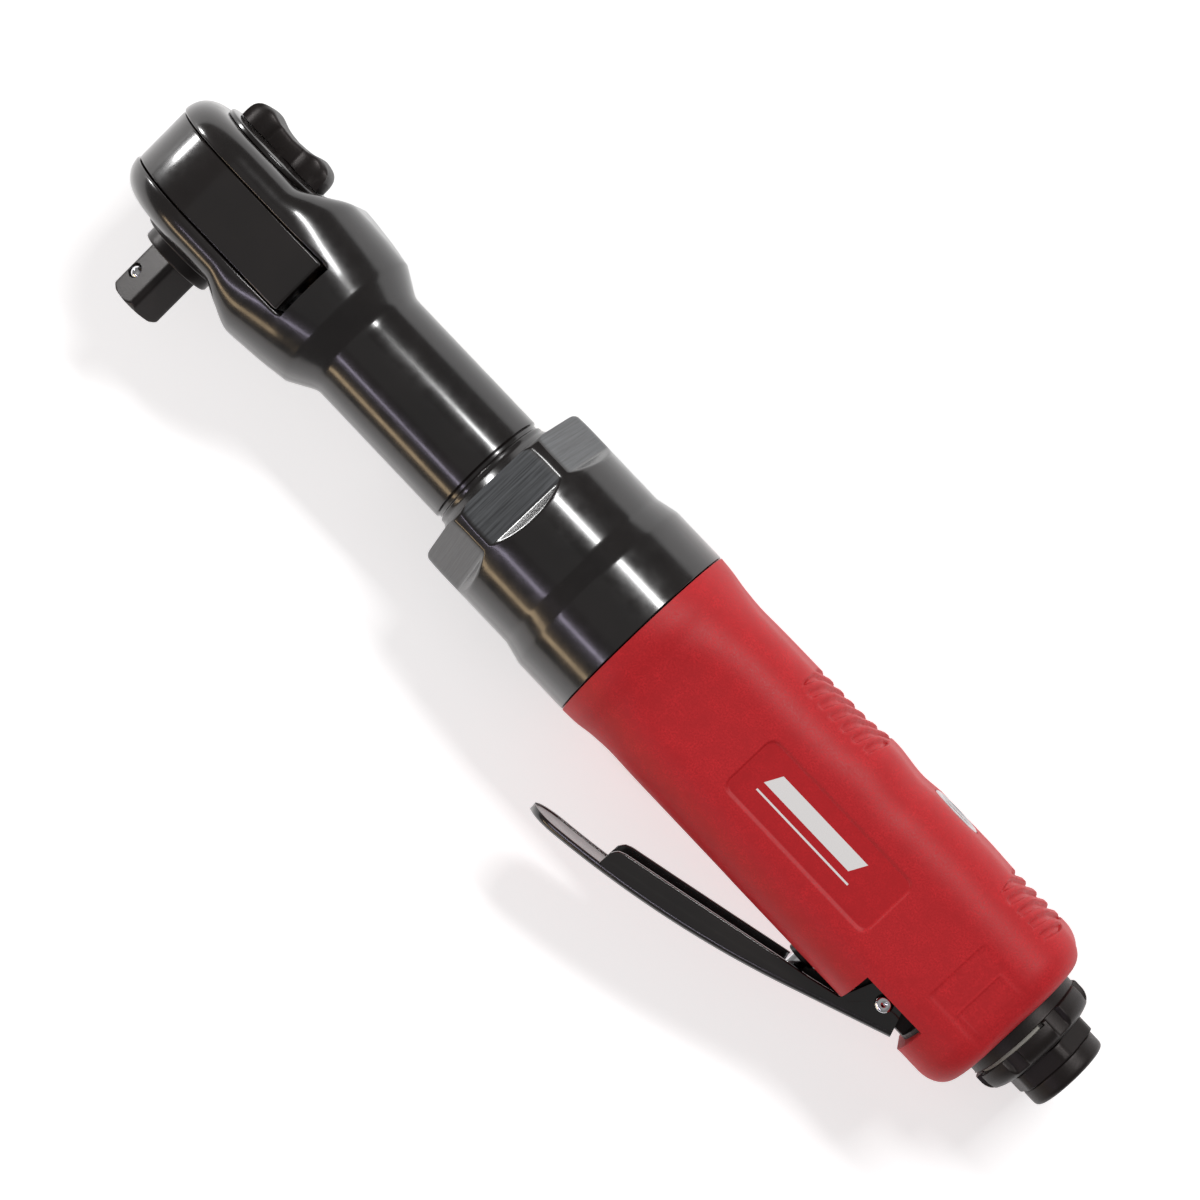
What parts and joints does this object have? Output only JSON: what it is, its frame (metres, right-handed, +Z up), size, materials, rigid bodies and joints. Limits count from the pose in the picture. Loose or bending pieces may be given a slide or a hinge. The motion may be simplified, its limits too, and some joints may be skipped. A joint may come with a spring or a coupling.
{
  "type": "air ratchet",
  "caption": "Air ratchet wrench: square drive in a round head, black neck and clamp nut, red grip around an air motor, throttle lever and threaded inlet.",
  "frame": {"origin": "centre of the end face of the square drive", "axes": "+X runs along the tool from the head to the air inlet, -Y is the way the square drive and the lever point, +Z is up, out of the face with the label recess"},
  "size_m": [0.2776, 0.0666, 0.0466],
  "materials": {
    "black_gloss": "gloss",
    "black_satin": "satin",
    "black_alloy": "black anodised, satin",
    "ground_steel": "satin",
    "bright_steel": "polished",
    "bronze": "satin",
    "red_grip": "satin, finely grained",
    "alloy": "matte",
    "dial_metal": "satin",
    "vane_composite": "matte",
    "seal_rubber": "matte",
    "felt": "matte"
  },
  "bodies": {
    "root": {"ratchet_housing": "black_gloss", "anvil_bushing": "black_satin", "anvil_thrust_washer": "bronze", "anvil_wave_washer": "ground_steel", "bore_cover": "black_gloss", "front_needle_bearing": "ground_steel", "bearing_spacer": "ground_steel", "rear_needle_bearing": "ground_steel", "ring_gear": "ground_steel", "planet_washer": "bronze", "front_end_plate": "alloy", "front_ball_bearing": "bright_steel", "motor_cylinder": "ground_steel", "rear_end_plate": "alloy", "rear_ball_bearing": "bright_steel", "cylinder_dowel": "ground_steel", "clamp_nut": "black_gloss", "motor_barrel": "black_alloy", "handle_jacket": "red_grip", "lever_pin": "bright_steel", "valve_bushing": "bright_steel", "valve_seat": "seal_rubber", "valve_spring": "ground_steel", "inlet_bushing": "black_satin", "inlet_screen": "bright_steel", "muffler_felt": "felt"},
    "yoke": {"ratchet_yoke": "black_gloss"},
    "anvil": {"anvil": "black_satin", "pawl_pin": "ground_steel", "drive_detent_spring": "ground_steel"},
    "detent_ball": {"drive_detent_ball": "bright_steel"},
    "knob": {"reverse_knob": "black_satin", "pawl_spring": "ground_steel"},
    "plunger": {"pawl_plunger": "ground_steel"},
    "pawl": {"pawl": "ground_steel"},
    "rotor": {"rotor": "ground_steel", "vane_1": "vane_composite", "vane_2": "vane_composite", "vane_3": "vane_composite", "vane_4": "vane_composite", "vane_5": "vane_composite"},
    "crank": {"crankshaft": "ground_steel", "crank_bushing": "bronze", "planet_pin_1": "bright_steel", "planet_pin_2": "bright_steel", "planet_pin_3": "bright_steel"},
    "planet_1": {"planet_gear_1": "ground_steel"},
    "planet_2": {"planet_gear_2": "ground_steel"},
    "planet_3": {"planet_gear_3": "ground_steel"},
    "lever": {"throttle_lever": "black_gloss"},
    "valve": {"valve_stem": "ground_steel", "valve_poppet": "bronze"},
    "regulator": {"regulator_dial": "dial_metal", "regulator_seal": "seal_rubber"},
    "deflector": {"exhaust_deflector": "black_satin"}
  },
  "joints": [
    {"name": "rotor_spin", "type": "hinge", "parent": "root", "child": "rotor", "pos_m": [0.1295, 0.031, 0], "axis": [1, 0, 0], "continuous": true},
    {"name": "crank_spin", "type": "hinge", "parent": "root", "child": "crank", "pos_m": [0.06, 0.031, 0], "axis": [1, 0, 0], "continuous": true},
    {"name": "planet_1_spin", "type": "hinge", "parent": "crank", "child": "planet_1", "pos_m": [0.096, 0.04045, 0], "axis": [1, 0, 0], "continuous": true},
    {"name": "planet_2_spin", "type": "hinge", "parent": "crank", "child": "planet_2", "pos_m": [0.096, 0.02627, 0.00818], "axis": [1, 0, 0], "continuous": true},
    {"name": "planet_3_spin", "type": "hinge", "parent": "crank", "child": "planet_3", "pos_m": [0.096, 0.02627, -0.00818], "axis": [1, 0, 0], "continuous": true},
    {"name": "yoke_swing", "type": "hinge", "parent": "root", "child": "yoke", "pos_m": [0, 0.031, 0], "axis": [0, 1, 0], "range_deg": [-3.9, 3.9]},
    {"name": "anvil_spin", "type": "hinge", "parent": "root", "child": "anvil", "pos_m": [0, 0.031, 0], "axis": [0, 1, 0], "continuous": true},
    {"name": "detent_ball_press", "type": "slide", "parent": "anvil", "child": "detent_ball", "axis": [-0.8387, 0, 0.5446], "range_m": [-0.0011, 0], "stiffness_N_per_m": 300, "springref_m": 0.001, "deforming": ["drive_detent_spring"]},
    {"name": "reverse_knob_turn", "type": "hinge", "parent": "anvil", "child": "knob", "pos_m": [0, 0.031, 0], "axis": [0, 1, 0], "range_deg": [0, 50]},
    {"name": "plunger_press", "type": "slide", "parent": "knob", "child": "plunger", "axis": [-0.9063, 0, -0.4226], "range_m": [-0.0005, 0], "stiffness_N_per_m": 400, "springref_m": 0.001, "deforming": ["pawl_spring"]},
    {"name": "pawl_rock", "type": "hinge", "parent": "anvil", "child": "pawl", "pos_m": [-0.0082, 0.031, 0], "axis": [0, 1, 0], "range_deg": [-10, 0]},
    {"name": "lever_press", "type": "hinge", "parent": "root", "child": "lever", "pos_m": [0.2184, 0.0153, 0], "axis": [0, 0, -1], "range_deg": [0, 7.5], "stiffness_Nm_per_rad": 1.2, "springref_deg": -5.73},
    {"name": "valve_lift", "type": "slide", "parent": "root", "child": "valve", "axis": [0, 1, 0], "range_m": [0, 0.0027], "deforming": ["valve_spring"]},
    {"name": "regulator_turn", "type": "hinge", "parent": "root", "child": "regulator", "pos_m": [0.2, 0.031, 0], "axis": [0, 1, 0], "range_deg": [0, 180]},
    {"name": "deflector_turn", "type": "hinge", "parent": "root", "child": "deflector", "pos_m": [0.243, 0.0324, 0], "axis": [1, 0, 0], "continuous": true}
  ],
  "couplings": [
    {"joint": "crank_spin", "follows": "rotor_spin", "ratio": 0.22222},
    {"joint": "planet_1_spin", "follows": "rotor_spin", "ratio": -0.62222},
    {"joint": "planet_2_spin", "follows": "rotor_spin", "ratio": -0.62222},
    {"joint": "planet_3_spin", "follows": "rotor_spin", "ratio": -0.62222},
    {"joint": "pawl_rock", "follows": "reverse_knob_turn", "ratio": -0.2},
    {"joint": "valve_lift", "follows": "lever_press", "m_per_rad": 0.02}
  ]
}
